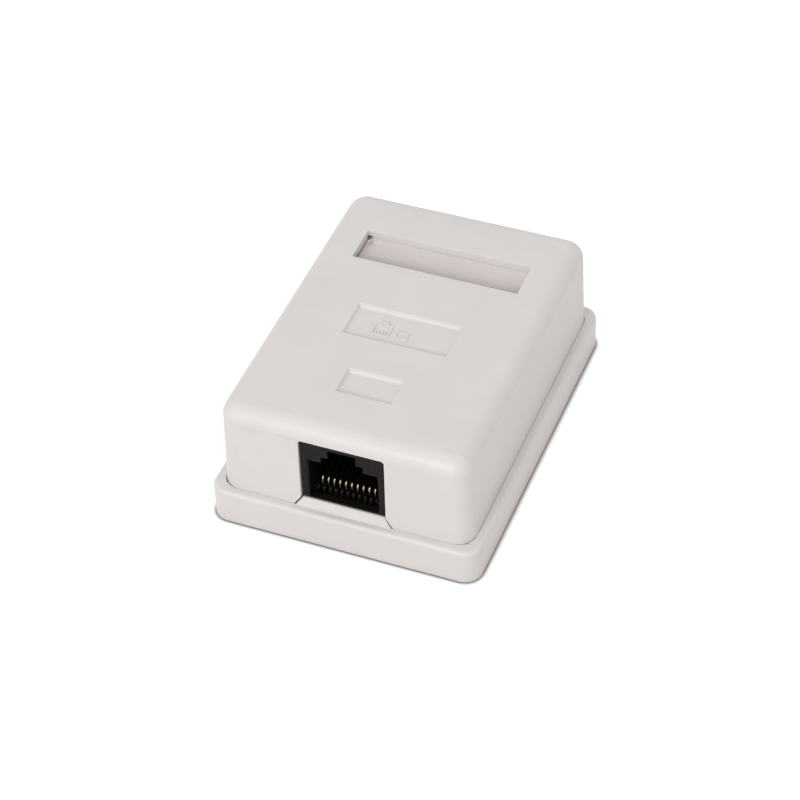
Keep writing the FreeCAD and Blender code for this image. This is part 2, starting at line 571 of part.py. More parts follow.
def make_contact(i):
    """A flat spring wire: up through the board, forward, up the carrier's nose and back."""
    body = new_body(f"contact_{i + 1}")
    run, rise = size_of("board_top + contact_run"), size_of("contact_rise")
    bend, crook = size_of("contact_bend"), size_of("contact_crook")
    tail, front = size_of(tail_y(i)), size_of("contact_front")
    slope = math.radians(size_of("contact_slope"))

    foot = Vector(tail, size_of("board_top - tail_long"), 0)
    knee = Vector(tail, run - bend, 0)
    knee_centre = Vector(tail - bend, run - bend, 0)
    toe_centre = Vector(front + bend, run + bend, 0)
    crook_centre = Vector(front + crook, rise, 0)
    arm_start = crook_centre + Vector(-math.sin(slope), math.cos(slope), 0) * crook
    tip = arm_start + Vector(math.cos(slope), math.sin(slope), 0) * size_of("contact_arm")
    up = Vector(0, 0, 1)

    # lines and bends in the order in which the wire runs
    path = sketch_on(body, "YZ_Plane", "ContactPath", contact_x(i))
    path.addGeometry(Part.LineSegment(foot, knee))
    path.addGeometry(Part.ArcOfCircle(Part.Circle(knee_centre, up, bend), 0, math.pi / 2))
    path.addGeometry(Part.LineSegment(Vector(tail - bend, run, 0), Vector(front + bend, run, 0)))
    path.addGeometry(Part.ArcOfCircle(Part.Circle(toe_centre, up, bend), math.pi, 3 * math.pi / 2))
    path.addGeometry(Part.LineSegment(Vector(front, run + bend, 0), Vector(front, rise, 0)))
    path.addGeometry(Part.ArcOfCircle(Part.Circle(crook_centre, up, crook), math.pi / 2 + slope, math.pi))
    path.addGeometry(Part.LineSegment(arm_start, tip))
    for one, one_end, two, two_end in ((0, 2, 1, 1), (1, 2, 2, 1), (2, 2, 3, 2), (3, 1, 4, 1),
                                       (4, 2, 5, 2), (5, 1, 6, 1)):
        path.addConstraint(Sketcher.Constraint("Tangent", one, one_end, two, two_end))
    path.addConstraint(Sketcher.Constraint("Vertical", 0))
    path.addConstraint(Sketcher.Constraint("Horizontal", 2))
    path.addConstraint(Sketcher.Constraint("Vertical", 4))
    pin_point(path, 0, 1, (tail_y(i), "board_top - tail_long"))
    pin_point(path, 4, 2, ("contact_front", "contact_rise"))
    sizes = (("Radius", (1,), "contact_bend"), ("Radius", (3,), "contact_bend"),
             ("Radius", (5,), "contact_crook"),
             ("DistanceY", (-1, 1, 2, 1), "board_top + contact_run"),
             ("Distance", (6,), "contact_arm"))
    for kind, what, text in sizes:
        index = path.addConstraint(Sketcher.Constraint(kind, *what, float(size_of(text))))
        path.setExpression(f"Constraints[{index}]", formula(text))
    index = path.addConstraint(Sketcher.Constraint("Angle", 6, slope))
    path.setExpression(f"Constraints[{index}]", formula("contact_slope * 1 deg"))

    section = sketch_on(body, "XY_Plane", "ContactSection", "board_top - tail_long")
    add_box(section, f"{contact_x(i)} - contact_width/2", f"{contact_x(i)} + contact_width/2",
            f"{tail_y(i)} - contact_thick/2", f"{tail_y(i)} + contact_thick/2")
    doc.recompute()
    wire = body.newObject("PartDesign::AdditivePipe", "ContactWire")
    wire.Profile = section
    wire.Spine = path
    doc.recompute()
    return body


# ---------------------------------------------------------------- punch-down blocks
def make_idc_block(label, side):
    """A row of towers with wire slots between them, and a pocket for a blade at each slot."""
    body = new_body(label)
    outline = [("idc_front", "board_top"), ("idc_rear", "board_top")]
    top, peak = "(board_top + idc_high)", "(board_top + idc_high - idc_peak)"
    mouth = "(board_top + idc_high - idc_mouth_deep)"
    crown = [("idc_front", peak), ("idc_front + idc_shoulder", top)]
    for i in range(SLOTS):
        middle = f"(idc_first + {i}*idc_pitch)"
        if i:
            crown.append((f"{middle} - idc_pitch/2", top))
        crown += [(f"{middle} - idc_mouth/2", peak), (f"{middle} - idc_slot/2", mouth),
                  (f"{middle} - idc_slot/2", "board_top + idc_foot"),
                  (f"{middle} + idc_slot/2", "board_top + idc_foot"),
                  (f"{middle} + idc_slot/2", mouth), (f"{middle} + idc_mouth/2", peak)]
    crown += [("idc_rear - idc_shoulder", top), ("idc_rear", peak)]
    profile = sketch_on(body, "YZ_Plane", "BlockProfile", f"{side}idc_x")
    add_outline(profile, outline + crown[::-1])
    pad(body, profile, "idc_width", centred=True)
    pockets = sketch_on(body, "XY_Plane", "BladePockets", "board_top")
    for i in range(SLOTS):
        middle = f"(idc_first + {i}*idc_pitch)"
        add_box(pockets, f"{side}idc_x - idc_pocket_width/2", f"{side}idc_x + idc_pocket_width/2",
                f"{middle} - idc_pocket_long/2", f"{middle} + idc_pocket_long/2")
    pocket(body, pockets, "idc_pocket_high", reverse=True)
    return body


def make_idc_blade(number, side, i):
    """A forked blade whose slot cuts into the wire, with its tail through the board."""
    body = new_body(f"idc_blade_{number}")
    blade = sketch_on(body, "YZ_Plane", "BladeOutline", f"{side}idc_x")
    middle = f"(idc_first + {i}*idc_pitch)"
    foot, top = "(board_top + blade_lift)", "(board_top + blade_lift + blade_high)"
    half = [("blade_tail/2", "board_top - tail_long"), ("blade_tail/2", foot),
            ("blade_width/2", foot), ("blade_width/2", f"{top} - blade_shoulder"),
            ("blade_width/2 - blade_shoulder", top),
            ("blade_mouth/2", top), ("blade_slot/2", f"{top} - blade_mouth_deep"),
            ("blade_slot/2", f"{top} - blade_slot_deep")]
    right = [(f"{middle} + {y}", z) for y, z in half]
    left = [(f"{middle} - ({y})", z) for y, z in half]
    add_outline(blade, right + left[::-1])
    pad(body, blade, "blade_thick", centred=True)
    return body


# ---------------------------------------------------------------- screws
def make_board_screws():
    """Four pan-head screws that hold the board to the posts."""
    screws = []
    for i, (x, y) in enumerate((x, y) for x in ("screw_x/2", "-screw_x/2")
                               for y in ("screw_front", "screw_rear")):
        head = doc.addObject("Part::Cylinder", f"ScrewHead{i}")
        head.setExpression("Radius", formula("screw_head/2"))
        head.setExpression("Height", formula("screw_head_high"))
        head.setExpression("Placement.Base.z", formula("board_top"))
        shank = doc.addObject("Part::Cylinder", f"ScrewShank{i}")
        shank.setExpression("Radius", formula("screw_shank/2"))
        shank.setExpression("Height", formula("screw_long + bite"))
        shank.setExpression("Placement.Base.z", formula("board_top - screw_long"))
        doc.recompute()
        crown = doc.addObject("Part::Chamfer", f"ScrewCrown{i}")
        crown.Base = head
        rim = next(n for n, edge in enumerate(head.Shape.Edges, start=1)
                   if at_height(edge.BoundBox, head.Shape.BoundBox.ZMax))
        crown.Edges = [(rim, size_of("screw_crown"), size_of("screw_crown"))]
        screw = doc.addObject("Part::Fuse", f"Screw{i}")
        screw.Base = crown
        screw.Tool = shank
        screw.setExpression("Placement.Base.x", formula(x))
        screw.setExpression("Placement.Base.y", formula(y))
        screws.append(screw)
    group = doc.addObject("Part::Compound", "board_screws")
    group.Label = "board_screws"
    group.Links = screws
    doc.recompute()
    return group


pieces = [make_base(), make_cover(), make_label_window(), make_label_card(), make_circuit_board(),
          make_jack_housing(), make_contact_carrier()]
pieces += [make_contact(i) for i in range(CONTACTS)]
pieces += [make_idc_block("idc_block_left", "-"), make_idc_block("idc_block_right", "")]
pieces += [make_idc_blade(1 + i + SLOTS * n, side, i) for n, side in enumerate(("-", ""))
           for i in range(SLOTS)]
pieces.append(make_board_screws())
doc.recompute()

for item in doc.Objects:
    if {"Invalid", "Error"} & set(item.State):
        raise RuntimeError(f"{item.Label} failed: {item.State}")
for piece in pieces:
    if piece.Shape.isNull() or not piece.Shape.isValid():
        raise RuntimeError(f"{piece.Label} has no valid shape")

os.makedirs("parts", exist_ok=True)
for piece in pieces:
    piece.Shape.exportStep(os.path.join("parts", piece.Label + ".step"))
    print(f"{piece.Label}: {len(piece.Shape.Solids)} solid(s), {piece.Shape.Volume:.1f} mm3")
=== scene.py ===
import math
import bmesh
import bpy
from mathutils import Matrix, Vector


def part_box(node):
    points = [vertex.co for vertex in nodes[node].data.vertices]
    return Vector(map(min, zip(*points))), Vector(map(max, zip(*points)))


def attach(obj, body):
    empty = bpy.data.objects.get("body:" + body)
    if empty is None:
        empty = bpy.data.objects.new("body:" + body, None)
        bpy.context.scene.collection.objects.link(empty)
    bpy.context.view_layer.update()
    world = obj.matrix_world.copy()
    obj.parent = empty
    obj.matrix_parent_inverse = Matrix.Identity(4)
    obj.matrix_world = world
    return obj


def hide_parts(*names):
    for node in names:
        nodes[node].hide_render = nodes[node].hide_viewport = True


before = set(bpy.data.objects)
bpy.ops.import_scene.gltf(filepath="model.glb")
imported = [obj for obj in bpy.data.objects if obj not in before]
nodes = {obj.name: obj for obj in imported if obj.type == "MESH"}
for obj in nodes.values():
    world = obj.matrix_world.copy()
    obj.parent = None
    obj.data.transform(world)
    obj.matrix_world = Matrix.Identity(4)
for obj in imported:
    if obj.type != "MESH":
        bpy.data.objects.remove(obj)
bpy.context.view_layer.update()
mm = 0.001


# small helpers

def toLinear(hexColour):
    # sRGB hex to the linear values that the shaders take
    values = [int(hexColour[i:i + 2], 16) / 255 for i in (1, 3, 5)]
    return [v / 12.92 if v <= 0.04045 else ((v + 0.055) / 1.055) ** 2.4 for v in values] + [1.0]


def addNode(tree, kind, values=None, **settings):
    # a socket given another node's output is linked to it, and any other is set
    node = tree.nodes.new(kind)
    for key, value in settings.items():
        setattr(node, key, value)
    for socket, value in (values or {}).items():
        if isinstance(value, bpy.types.NodeSocket):
            tree.links.new(value, node.inputs[socket])
        else:
            node.inputs[socket].default_value = value
    return node


def newMaterial(name):
    material = bpy.data.materials.new(name)
    material.use_nodes = True
    material.node_tree.nodes.clear()
    return material, material.node_tree


def makePiece(bm, name, material, body, smoothAngle):
    # the finished mesh becomes an object at the origin that rides on its body
    bmesh.ops.recalc_face_normals(bm, faces=bm.faces)
    for face in bm.faces:
        face.smooth = True
    for edge in bm.edges:
        edge.smooth = edge.calc_face_angle(0) < math.radians(smoothAngle)
    mesh = bpy.data.meshes.new(name)
    bm.to_mesh(mesh)
    bm.free()
    if "custom_normal" in mesh.attributes:  # it came with the CAD mesh and no longer fits
        mesh.attributes.remove(mesh.attributes["custom_normal"])
    mesh.materials.append(material)
    piece = bpy.data.objects.new(name, mesh)
    bpy.context.scene.collection.objects.link(piece)
    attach(piece, body)
    return piece


# materials of the mouldings and the metal: two close tones, mixed by a soft noise

noise = {"darkBelow": 0.3, "lightAbove": 0.7,
         "flowWidth": 7.0, "flowDetail": 3.0,  # mm, as wide as a moulding's flow marks
         "grainDetail": 2.0, "grainRoughness": 0.6, "cloudDetail": 3.0}


def mouldedPlastic(name, look):
    # injection moulded: satin from the spark-eroded mould, faint flow marks in colour and gloss
    material, tree = newMaterial(name)
    place = addNode(tree, "ShaderNodeTexCoord").outputs["Object"]
    flow = addNode(tree, "ShaderNodeTexNoise",
                   {"Vector": place, "Scale": 1 / (noise["flowWidth"] * mm),
                    "Detail": noise["flowDetail"]})
    colour = addNode(tree, "ShaderNodeValToRGB", {"Fac": flow.outputs["Fac"]})
    colour.color_ramp.elements[0].position = noise["darkBelow"]
    colour.color_ramp.elements[0].color = toLinear(look["dark"])
    colour.color_ramp.elements[1].position = noise["lightAbove"]
    colour.color_ramp.elements[1].color = toLinear(look["light"])
    gloss = addNode(tree, "ShaderNodeMapRange",
                    {"Value": flow.outputs["Fac"],
                     "To Min": look["roughness"] - look["roughnessSpread"],
                     "To Max": look["roughness"] + look["roughnessSpread"]})
    grain = addNode(tree, "ShaderNodeTexNoise",
                    {"Vector": place, "Scale": 1 / (look["grain"] * mm),
                     "Detail": noise["grainDetail"], "Roughness": noise["grainRoughness"]})
    bump = addNode(tree, "ShaderNodeBump",
                   {"Height": grain.outputs["Fac"], "Strength": look["bump"],
                    "Distance": look["depth"] * mm})
    shader = addNode(tree, "ShaderNodeBsdfPrincipled",
                     {"Base Color": colour.outputs["Color"], "Roughness": gloss.outputs["Result"],
                      "Normal": bump.outputs["Normal"], "IOR": look["ior"],
                      "Specular IOR Level": look["shine"]})
    addNode(tree, "ShaderNodeOutputMaterial", {"Surface": shader.outputs[0]})
    return material


def platedMetal(name, look):
    # thin plating over bronze or steel: clean metal, brightness and gloss wander a little
    material, tree = newMaterial(name)
    place = addNode(tree, "ShaderNodeTexCoord").outputs["Object"]
    cloud = addNode(tree, "ShaderNodeTexNoise",
                    {"Vector": place, "Scale": 1 / (look["cloud"] * mm),
                     "Detail": noise["cloudDetail"]})
    colour = addNode(tree, "ShaderNodeValToRGB", {"Fac": cloud.outputs["Fac"]})
    colour.color_ramp.elements[0].position = noise["darkBelow"]
    colour.color_ramp.elements[0].color = toLinear(look["dark"])
    colour.color_ramp.elements[1].position = noise["lightAbove"]
    colour.color_ramp.elements[1].color = toLinear(look["light"])
    gloss = addNode(tree, "ShaderNodeMapRange",
                    {"Value": cloud.outputs["Fac"],
                     "To Min": look["roughness"] - look["roughnessSpread"],
                     "To Max": look["roughness"] + look["roughnessSpread"]})
    shader = addNode(tree, "ShaderNodeBsdfPrincipled",
                     {"Base Color": colour.outputs["Color"], "Roughness": gloss.outputs["Result"],
                      "Metallic": 1.0})
    addNode(tree, "ShaderNodeOutputMaterial", {"Surface": shader.outputs[0]})
    return material


# grain and depth are in mm: real spark grain is a few hundredths wide, and is drawn coarser to show
whiteLook = {"dark": "#dad6d3", "light": "#dedad7", "roughness": 0.42, "roughnessSpread": 0.03,
             "grain": 0.35, "depth": 0.01, "bump": 0.25, "ior": 1.54, "shine": 0.5}
blackLook = {"dark": "#120e0b", "light": "#16120f", "roughness": 0.42, "roughnessSpread": 0.04,
             "grain": 0.3, "depth": 0.01, "bump": 0.3, "ior": 1.5, "shine": 0.1}
ivoryLook = {"dark": "#e2dcc8", "light": "#e7e1ce", "roughness": 0.3, "roughnessSpread": 0.04,
             "grain": 0.3, "depth": 0.008, "bump": 0.2, "ior": 1.58, "shine": 0.5}
# cloud is the width in mm of the plating's brighter and duller patches
goldLook = {"dark": "#8d8470", "light": "#a0967f", "roughness": 0.2, "roughnessSpread": 0.05,
            "cloud": 0.6}
tinLook = {"dark": "#b9b6ae", "light": "#cfccc4", "roughness": 0.32, "roughnessSpread": 0.06,
           "cloud": 0.8}
zincLook = {"dark": "#b4b8bc", "light": "#cdd0d2", "roughness": 0.3, "roughnessSpread": 0.08,
            "cloud": 1.2}

whiteAbs = mouldedPlastic("white moulded ABS", whiteLook)
blackPbt = mouldedPlastic("black moulded PBT", blackLook)
ivoryPbt = mouldedPlastic("ivory moulded PBT", ivoryLook)
goldPlate = platedMetal("gold plated phosphor bronze", goldLook)
tinPlate = platedMetal("tin plated phosphor bronze", tinLook)
zincSteel = platedMetal("zinc plated steel", zincLook)


# label window: clear styrene

paneLook = {"colour": "#fbfbfa", "side": "#e6dedb", "haze": 0.42, "roughness": 0.03, "ior": 1.49,
            "ripple": 9.0, "rippleDepth": 0.01,  # mm
            "rippleStrength": 0.5, "rippleDetail": 0.0,
            "skin": 0.02}  # share of the thickness that counts as the face itself


def clearPane(name, look, node):
    # polished: mirrors at low angles, and lamps reach the card through it
    material, tree = newMaterial(name)
    place = addNode(tree, "ShaderNodeTexCoord").outputs["Object"]
    ripple = addNode(tree, "ShaderNodeTexNoise",
                     {"Vector": place, "Scale": 1 / (look["ripple"] * mm),
                      "Detail": look["rippleDetail"]})
    bump = addNode(tree, "ShaderNodeBump",
                   {"Height": ripple.outputs["Fac"], "Strength": look["rippleStrength"],
                    "Distance": look["rippleDepth"] * mm})
    glass = addNode(tree, "ShaderNodeBsdfPrincipled",
                    {"Base Color": toLinear(look["colour"]), "Roughness": look["roughness"],
                     "IOR": look["ior"], "Transmission Weight": 1.0,
                     "Normal": bump.outputs["Normal"]})
    # the underside is clear, the sawn sides are frosted, and the top has a slight milky haze
    under, top = (corner[2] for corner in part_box(node))
    height = addNode(tree, "ShaderNodeSeparateXYZ", {"Vector": place})
    level = addNode(tree, "ShaderNodeMapRange",
                    {"Value": height.outputs["Z"], "From Min": under, "From Max": top})
    milky = addNode(tree, "ShaderNodeValToRGB", {"Fac": level.outputs[0]})
    milky.color_ramp.interpolation = "CONSTANT"
    milky.color_ramp.elements[0].color = (0, 0, 0, 1)
    milky.color_ramp.elements[1].position = look["skin"]
    hazeStop = milky.color_ramp.elements.new(1 - look["skin"])
    hazeStop.color = (look["haze"], look["haze"], look["haze"], 1)
    frost = addNode(tree, "ShaderNodeBsdfDiffuse", {"Color": toLinear(look["side"])})
    plate = addNode(tree, "ShaderNodeMixShader",
                    {0: milky.outputs[0], 1: glass.outputs[0], 2: frost.outputs[0]})
    passing = addNode(tree, "ShaderNodeBsdfTransparent")
    path = addNode(tree, "ShaderNodeLightPath")
    shader = addNode(tree, "ShaderNodeMixShader",
                     {0: path.outputs["Is Shadow Ray"], 1: plate.outputs[0],
                      2: passing.outputs[0]})
    addNode(tree, "ShaderNodeOutputMaterial", {"Surface": shader.outputs[0]})
    return material


clearStyrene = clearPane("clear styrene", paneLook, "label_window")


# label card

cardLook = {"dark": "#e6dbd7", "light": "#ede3df", "roughness": 0.9,
            "fibre": 0.5, "depth": 0.02,  # mm: real fibres are finer, and are drawn coarser to show
            "stretch": (0.35, 1.0, 1.0), "detail": 4.0, "bump": 0.3}


def paperCard(name, look):
    # uncoated card: dull, with short fibres that lie along the sheet
    material, tree = newMaterial(name)
    place = addNode(tree, "ShaderNodeTexCoord").outputs["Object"]
    along = addNode(tree, "ShaderNodeMapping", {"Vector": place, "Scale": look["stretch"]})
    fibre = addNode(tree, "ShaderNodeTexNoise",
                    {"Vector": along.outputs[0], "Scale": 1 / (look["fibre"] * mm),
                     "Detail": look["detail"]})
    colour = addNode(tree, "ShaderNodeValToRGB", {"Fac": fibre.outputs["Fac"]})
    colour.color_ramp.elements[0].color = toLinear(look["dark"])
    colour.color_ramp.elements[1].color = toLinear(look["light"])
    bump = addNode(tree, "ShaderNodeBump",
                   {"Height": fibre.outputs["Fac"], "Strength": look["bump"],
                    "Distance": look["depth"] * mm})
    shader = addNode(tree, "ShaderNodeBsdfPrincipled",
                     {"Base Color": colour.outputs["Color"], "Roughness": look["roughness"],
                      "Normal": bump.outputs["Normal"]})
    addNode(tree, "ShaderNodeOutputMaterial", {"Surface": shader.outputs[0]})
    return material


labelCard = paperCard("uncoated card", cardLook)


# circuit board

boardLook = {"mask": "#0c2c1d", "trace": "#164429", "roughness": 0.28,
             "pitch": 1.9, "raised": 0.03,  # mm
             "cell": 3, "tracks": 5.0,  # pitches across a cell, and folds of the lines inside it
             "trackFrom": 0.55, "trackTo": 0.62, "bump": 0.6}


def circuitBoard(name, look):
    # green solder mask: glossy lacquer, lighter and raised where a copper trace runs under it
    material, tree = newMaterial(name)
    place = addNode(tree, "ShaderNodeTexCoord").outputs["Object"]
    bent = addNode(tree, "ShaderNodeTexVoronoi",
                   {"Vector": place, "Scale": 1 / (look["cell"] * look["pitch"] * mm)},
                   distance="CHEBYCHEV")
    lines = addNode(tree, "ShaderNodeMath", {0: bent.outputs["Distance"], 1: look["tracks"]},
                    operation="MULTIPLY")
    saw = addNode(tree, "ShaderNodeMath", {0: lines.outputs[0], 1: 1.0}, operation="PINGPONG")
    track = addNode(tree, "ShaderNodeMapRange",
                    {"Value": saw.outputs[0], "From Min": look["trackFrom"],
                     "From Max": look["trackTo"]})
    colour = addNode(tree, "ShaderNodeMix",
                     {0: track.outputs[0], 6: toLinear(look["mask"]), 7: toLinear(look["trace"])},
                     data_type="RGBA")  # 6 and 7 are the two colours
    bump = addNode(tree, "ShaderNodeBump",
                   {"Height": track.outputs[0], "Strength": look["bump"],
                    "Distance": look["raised"] * mm})
    shader = addNode(tree, "ShaderNodeBsdfPrincipled",
                     {"Base Color": colour.outputs[2], "Roughness": look["roughness"],
                      "Normal": bump.outputs["Normal"]})
    addNode(tree, "ShaderNodeOutputMaterial", {"Surface": shader.outputs[0]})
    return material


greenBoard = circuitBoard("green solder mask on glass epoxy", boardLook)
print("materials made")


# casings: merged copies of the CAD forms, with the moulding's small edge rounds

casing = {"edgeRound": 0.15, "recessRound": 0.45, "footRound": 0.18,  # mm
          "edgeSegments": 2, "recessSegments": 5, "footSegments": 3,
          "merge": 0.002,  # mm
          "flat": 0.2, "edgeAngle": 38,  # degrees
          # where the edges to round lie, mm
          "ledge": 7.2, "foot": 0.01, "inside": 21.5, "insideLong": 29.8,
          "recessHalf": 9.3, "recessBack": 1.4, "recessFront": -20.2,
          "recessLow": 23.0, "recessHigh": 23.3,
          # the rim's inner face, and how far its top leans, mm
          "rimX": 22.0, "rimY": 30.5, "rimCorner": 3.3, "rimTop": 6.0, "seamClose": 0.1,
          "upright": 0.1, "flatLead": 100, "shadeEase": 0.6}


def mergedCopy(node):
    # flat regions become single faces, so that only true edges are left to round
    bm = bmesh.new()
    bm.from_mesh(nodes[node].data)
    bmesh.ops.remove_doubles(bm, verts=bm.verts, dist=casing["merge"] * mm)
    bmesh.ops.dissolve_limit(bm, angle_limit=math.radians(casing["flat"]), verts=bm.verts,
                             edges=bm.edges)
    return bm


def roundEdges(bm, size, segments, chosen):
    # rounds the sharp edges that a test picks
    hard = [e for e in bm.edges if len(e.link_faces) == 2
            and e.calc_face_angle() > math.radians(casing["edgeAngle"]) and chosen(e)]
    bmesh.ops.bevel(bm, geom=hard, offset=size * mm, affect="EDGES", segments=segments,
                    profile=0.5, material=-1, clamp_overlap=False, loop_slide=True)


def placeCopy(bm, node, name, material, body):
    # flat walls stay flat up to their edge rounds, because large faces lead the normals
    piece = makePiece(bm, name, material, body, casing["edgeAngle"])
    lead = piece.modifiers.new("flatWalls", "WEIGHTED_NORMAL")
    lead.weight = casing["flatLead"]
    lead.keep_sharp = True
    # keeps the shade edge of round corners even across their facets
    piece.shadow_terminator_geometry_offset = casing["shadeEase"]
    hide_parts(node)


def anyEdge(edge):
    return True


def aboveLedge(edge):
    return all(v.co.z > casing["ledge"] * mm for v in edge.verts)


def footEdge(edge):
    # round the outside of the base, where it stands
    outside = all(abs(v.co.x) > casing["inside"] * mm or abs(v.co.y) > casing["insideLong"] * mm
                  for v in edge.verts)
    return outside and all(v.co.z < casing["foot"] * mm for v in edge.verts)


def insideTray(edge):
    # on the posts, hooks and ribs that stand in the base
    return edge.is_convex and all(
        abs(v.co.x) < casing["inside"] * mm and abs(v.co.y) < casing["insideLong"] * mm
        and v.co.z > casing["foot"] * mm for v in edge.verts)


def recessFloorEdge(edge):
    # round the floors of the two shallow recesses in the top
    return not edge.is_convex and all(
        abs(v.co.x) < casing["recessHalf"] * mm
        and casing["recessFront"] * mm < v.co.y < casing["recessBack"] * mm
        and casing["recessLow"] * mm < v.co.z < casing["recessHigh"] * mm for v in edge.verts)


def closeSeam(bm):
    # leans the inside of the rim towards the cover at its top, which leaves a hairline between
    lean = {}
    for face in bm.faces:
        centre = face.calc_center_median()
        x, y = abs(centre.x) / mm, abs(centre.y) / mm
        onRim = x > casing["rimX"] or y > casing["rimY"] or (
            x > casing["rimX"] - casing["rimCorner"] and y > casing["rimY"] - casing["rimCorner"])
        inward = face.normal.to_2d().dot(centre.to_2d()) < 0
        if onRim and inward and abs(face.normal.z) < casing["upright"]:
            for vert in face.verts:
                if vert.co.z > casing["rimTop"] * mm:
                    lean.setdefault(vert, []).append(face.normal)
    for vert, normals in lean.items():
        vert.co += sum(normals, Vector()).normalized() * casing["seamClose"] * mm


def makeCover():
    bm = mergedCopy("cover")
    roundEdges(bm, casing["recessRound"], casing["recessSegments"], recessFloorEdge)
    roundEdges(bm, casing["edgeRound"], casing["edgeSegments"], aboveLedge)
    placeCopy(bm, "cover", "coverShell", whiteAbs, "cover")


def makeBase():
    bm = mergedCopy("base")
    closeSeam(bm)
    roundEdges(bm, casing["footRound"], casing["footSegments"], footEdge)
    roundEdges(bm, casing["edgeRound"], casing["edgeSegments"], insideTray)
    placeCopy(bm, "base", "baseTray", whiteAbs, "base")


makeCover()
makeBase()
print("casings made")


# contacts: flat wire whose rolled edges catch the light as it runs up into the socket

wire = {"edgeRound": 0.14,  # mm
        "segments": 4, "count": 10}


def makeContacts():
    for number in range(1, wire["count"] + 1):
        bm = mergedCopy(f"contact_{number}")
        roundEdges(bm, wire["edgeRound"], wire["segments"], anyEdge)
        placeCopy(bm, f"contact_{number}", f"springContact{number}", goldPlate, "base")


makeContacts()
print("contacts made")


# black jack and ivory blocks: moulded edges that are a little round

moulding = {"jackRound": 0.1, "jackFront": -28.6, "blockRound": 0.12, "blockFoot": 8.2,  # mm
            "segments": 2}


def jackFrontEdge(edge):
    return edge.is_convex and all(v.co.y < moulding["jackFront"] * mm for v in edge.verts)


def blockEdge(edge):
    # all but those that lie on the board
    return edge.is_convex and all(v.co.z > moulding["blockFoot"] * mm for v in edge.verts)


def makeJack():
    bm = mergedCopy("jack_housing")
    roundEdges(bm, moulding["jackRound"], moulding["segments"], jackFrontEdge)
    placeCopy(bm, "jack_housing", "jackMoulding", blackPbt, "base")


def makeBlocks():
    for side in ("left", "right"):
        bm = mergedCopy(f"idc_block_{side}")
        roundEdges(bm, moulding["blockRound"], moulding["segments"], blockEdge)
        placeCopy(bm, f"idc_block_{side}", f"punchBlock{side.title()}", ivoryPbt, "base")


makeJack()
makeBlocks()
print("jack and punch-down blocks made")


# board screws: pan heads with a cross recess

screw = {"x": 10.2, "y": (-13.6, 10.9), "seat": 8.0, "merge": 0.0005,  # mm
         "profile": ((1.2, 1.5), (1.5, 1.43), (1.8, 1.22), (2.0, 0.92), (2.1, 0.55), (2.1, 0.0),
                     (0.93, 0.0), (0.93, -4.8), (0.0, -4.8)),  # radius, and height over the seat
         "arm": 0.95, "armHalf": 0.24, "crossDeep": 0.95,
         "crossTaper": 0.45, "segments": 32, "smoothAngle": 32}  # degrees


def addScrew(bm, x, y):
    # a turned head and shank, with a tapering cross let into the top
    spot = Vector((x, y, screw["seat"])) * mm
    profile = [bm.verts.new(spot + Vector((radius, 0, height)) * mm)
               for radius, height in screw["profile"]]
    outline = [bm.edges.new(pair) for pair in zip(profile, profile[1:])]
    bmesh.ops.spin(bm, geom=profile + outline, cent=spot, axis=(0, 0, 1), angle=2 * math.pi,
                   steps=screw["segments"], use_merge=True)
    bmesh.ops.remove_doubles(bm, verts=bm.verts, dist=screw["merge"] * mm)
    # the cross goes in the open top, and the ring between them is filled
    arm, half, top = screw["arm"], screw["armHalf"], screw["profile"][0][1]
    corners = [Vector((arm, -half, top)), Vector((arm, half, top)), Vector((half, half, top))]
    turns = [Matrix.Rotation(math.pi / 2 * quarter, 3, "Z") for quarter in range(4)]
    cross = bm.faces.new([bm.verts.new(spot + turn @ corner * mm)
                          for turn in turns for corner in corners])
    bmesh.ops.triangle_fill(bm, edges=[edge for edge in bm.edges if edge.is_boundary],
                            use_beauty=True)
    floor = bmesh.ops.extrude_discrete_faces(bm, faces=[cross])["faces"][0]
    taper = screw["crossTaper"]
    bmesh.ops.scale(bm, vec=(taper, taper, 1), space=Matrix.Translation(-spot), verts=floor.verts)
    bmesh.ops.translate(bm, vec=(0, 0, -screw["crossDeep"] * mm), verts=floor.verts)


def makeScrews():
    bm = bmesh.new()
    for x in (-screw["x"], screw["x"]):
        for y in screw["y"]:
            addScrew(bm, x, y)
    piece = makePiece(bm, "boardScrews", zincSteel, "base", screw["smoothAngle"])
    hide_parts("board_screws")


makeScrews()
print("screws made")


# raised port and plug sign on the floor of the middle recess

sign = {"floor": 23.2, "sunk": 0.1, "high": 0.22, "line": 0.32, "round": 0.1,  # mm
        "port": ((-4.96, -4.76), (-1.74, -4.76), (-1.74, -1.84), (-2.59, -1.84),
                 (-2.59, -1.24), (-4.11, -1.24), (-4.11, -1.84), (-4.96, -1.84)),
        "plug": ((-0.86, -4.46), (1.36, -4.46), (1.36, -2.64), (-0.86, -2.64)),
        "lead": (-1.55, -3.71, -0.8, -3.39),
        "pins": (-4.22, -3.64, -3.06, -2.48), "pinFoot": -4.6, "pinTip": -3.53, "pinWide": 0.21,
        "pinLower": 0.03, "topBand": 0.01,
        "segments": 2, "smoothAngle": 35}  # degrees


def addBar(bm, x0, y0, x1, y1, z0, z1):
    middle = Matrix.Translation(Vector((x0 + x1, y0 + y1, z0 + z1)) * mm / 2)
    scale = Matrix.Diagonal(((x1 - x0) * mm, (y1 - y0) * mm, (z1 - z0) * mm, 1.0))
    bmesh.ops.create_cube(bm, size=1.0, matrix=middle @ scale)


def addRib(bm, outline, low, high):
    # a rib of even width just inside an outline
    face = bm.faces.new([bm.verts.new(Vector((x, y, high)) * mm) for x, y in outline])
    bm.normal_update()
    ring = bmesh.ops.inset_region(bm, faces=[face], thickness=sign["line"] * mm,
                                  use_even_offset=True, use_boundary=True)["faces"]
    bmesh.ops.delete(bm, geom=[face], context="FACES")
    bmesh.ops.solidify(bm, geom=ring, thickness=(high - low) * mm)


